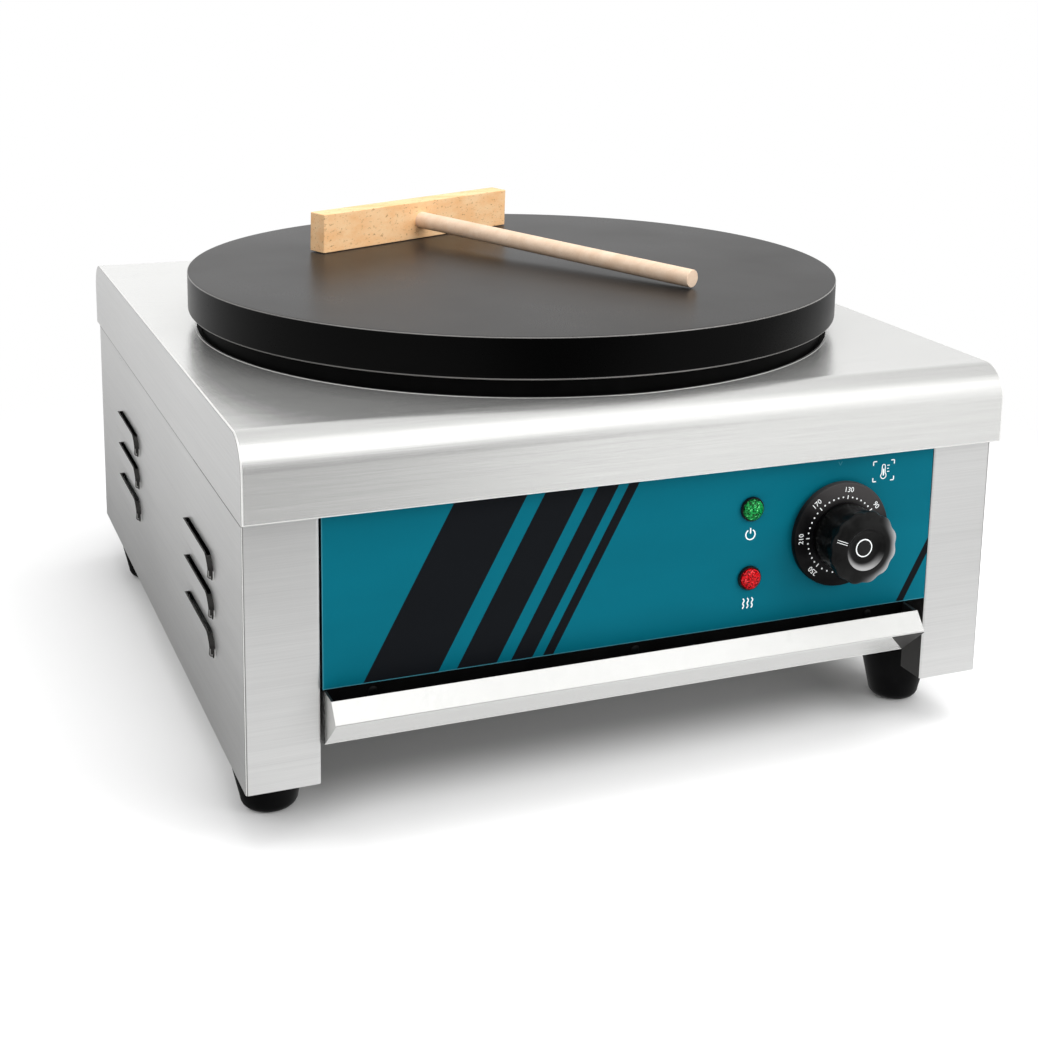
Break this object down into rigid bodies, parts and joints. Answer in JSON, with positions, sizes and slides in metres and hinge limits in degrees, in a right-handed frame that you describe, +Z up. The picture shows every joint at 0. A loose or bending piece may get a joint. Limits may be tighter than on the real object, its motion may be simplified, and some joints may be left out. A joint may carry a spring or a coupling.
{
  "type": "electric crepe maker",
  "caption": "Sheet-steel countertop crepe maker: round cast cooking plate on a box with dial, lamps and drip drawer, and a wooden spreader",
  "frame": {"origin": "On the surface that the feet stand on, at the centre of the whole part's bounding box seen from above", "axes": "+Z is up, the control panel and the drawer face -Y, +X is to the right of someone facing them"},
  "size_m": [0.445, 0.509, 0.2786],
  "materials": {
    "stainless": "brushed stainless steel sheet",
    "galvanised": "plain galvanised sheet",
    "teal_print": "printed polyester sheet, teal with black bars",
    "black_iron": "machined, seasoned cast iron",
    "black_enamel": "black heat-proof enamel",
    "wool": "mineral wool blanket",
    "heater_tube": "oxidised heater tube",
    "zinc": "zinc-plated steel",
    "black_plastic": "moulded black thermoset",
    "switch_body": "steatite switch housing",
    "copper": "bare copper tube",
    "green_lens": "facetted green lens",
    "red_lens": "facetted red lens",
    "rubber": "black rubber",
    "wire": "silicone-sheathed wire",
    "white_block": "ceramic terminal block",
    "brass": "plain brass",
    "beech": "unfinished beech",
    "board": "fine-grained light hardwood"
  },
  "bodies": {
    "casing": {"top_cover": "stainless", "side_panel_left": "stainless", "side_panel_right": "stainless", "rear_panel": "stainless", "chamber_floor": "galvanised", "control_panel": "galvanised", "panel_overlay": "teal_print", "cooking_plate": "black_iron", "plate_rim": "black_iron", "plate_bosses": "black_iron", "heat_pan": "black_enamel", "pan_collar": "black_enamel", "insulation_blanket": "wool", "heating_element": "heater_tube", "element_clamp": "galvanised", "clamp_nuts": "zinc", "plate_posts": "zinc", "post_nuts": "zinc", "thermostat_body": "switch_body", "thermostat_screws": "zinc", "thermostat_capillary": "copper", "thermostat_bulb": "copper", "bulb_clip": "zinc", "power_lamp": "black_plastic", "power_lamp_lens": "green_lens", "heat_lamp": "black_plastic", "heat_lamp_lens": "red_lens", "lamp_nuts": "black_plastic", "runner_left": "stainless", "runner_right": "stainless", "drawer_stops": "zinc", "foot_plates": "black_enamel", "foot_front_left": "rubber", "foot_front_right": "rubber", "foot_rear_left": "rubber", "foot_rear_right": "rubber", "foot_studs": "zinc", "terminal_block": "white_block", "safety_cutout": "black_plastic", "cable_gland": "black_plastic", "gland_locknut": "black_plastic", "earth_stud": "brass", "lamp_wiring": "wire", "heater_wiring": "wire", "rear_screws": "zinc", "cover_screws": "zinc"},
    "drawer": {"drawer_tray": "stainless", "drawer_front": "black_enamel", "drawer_handle": "stainless", "drawer_rivets": "zinc"},
    "dial": {"dial_skirt": "black_plastic", "thermostat_knob": "black_plastic", "thermostat_spindle": "zinc"},
    "spreader": {"spreader_blade": "board", "spreader_handle": "beech"}
  },
  "joints": [
    {"name": "drawer_slide", "type": "slide", "parent": "casing", "child": "drawer", "axis": [0, -1, 0], "range_m": [0, 0.3]},
    {"name": "dial_turn", "type": "hinge", "parent": "casing", "child": "dial", "pos_m": [0.118, -0.2235, 0.1305], "axis": [0, 1, 0], "range_deg": [-133, 197]},
    {"name": "spreader_lift", "type": "slide", "parent": "casing", "child": "spreader", "axis": [0, 0, 1], "range_m": [0, 0.15]}
  ]
}
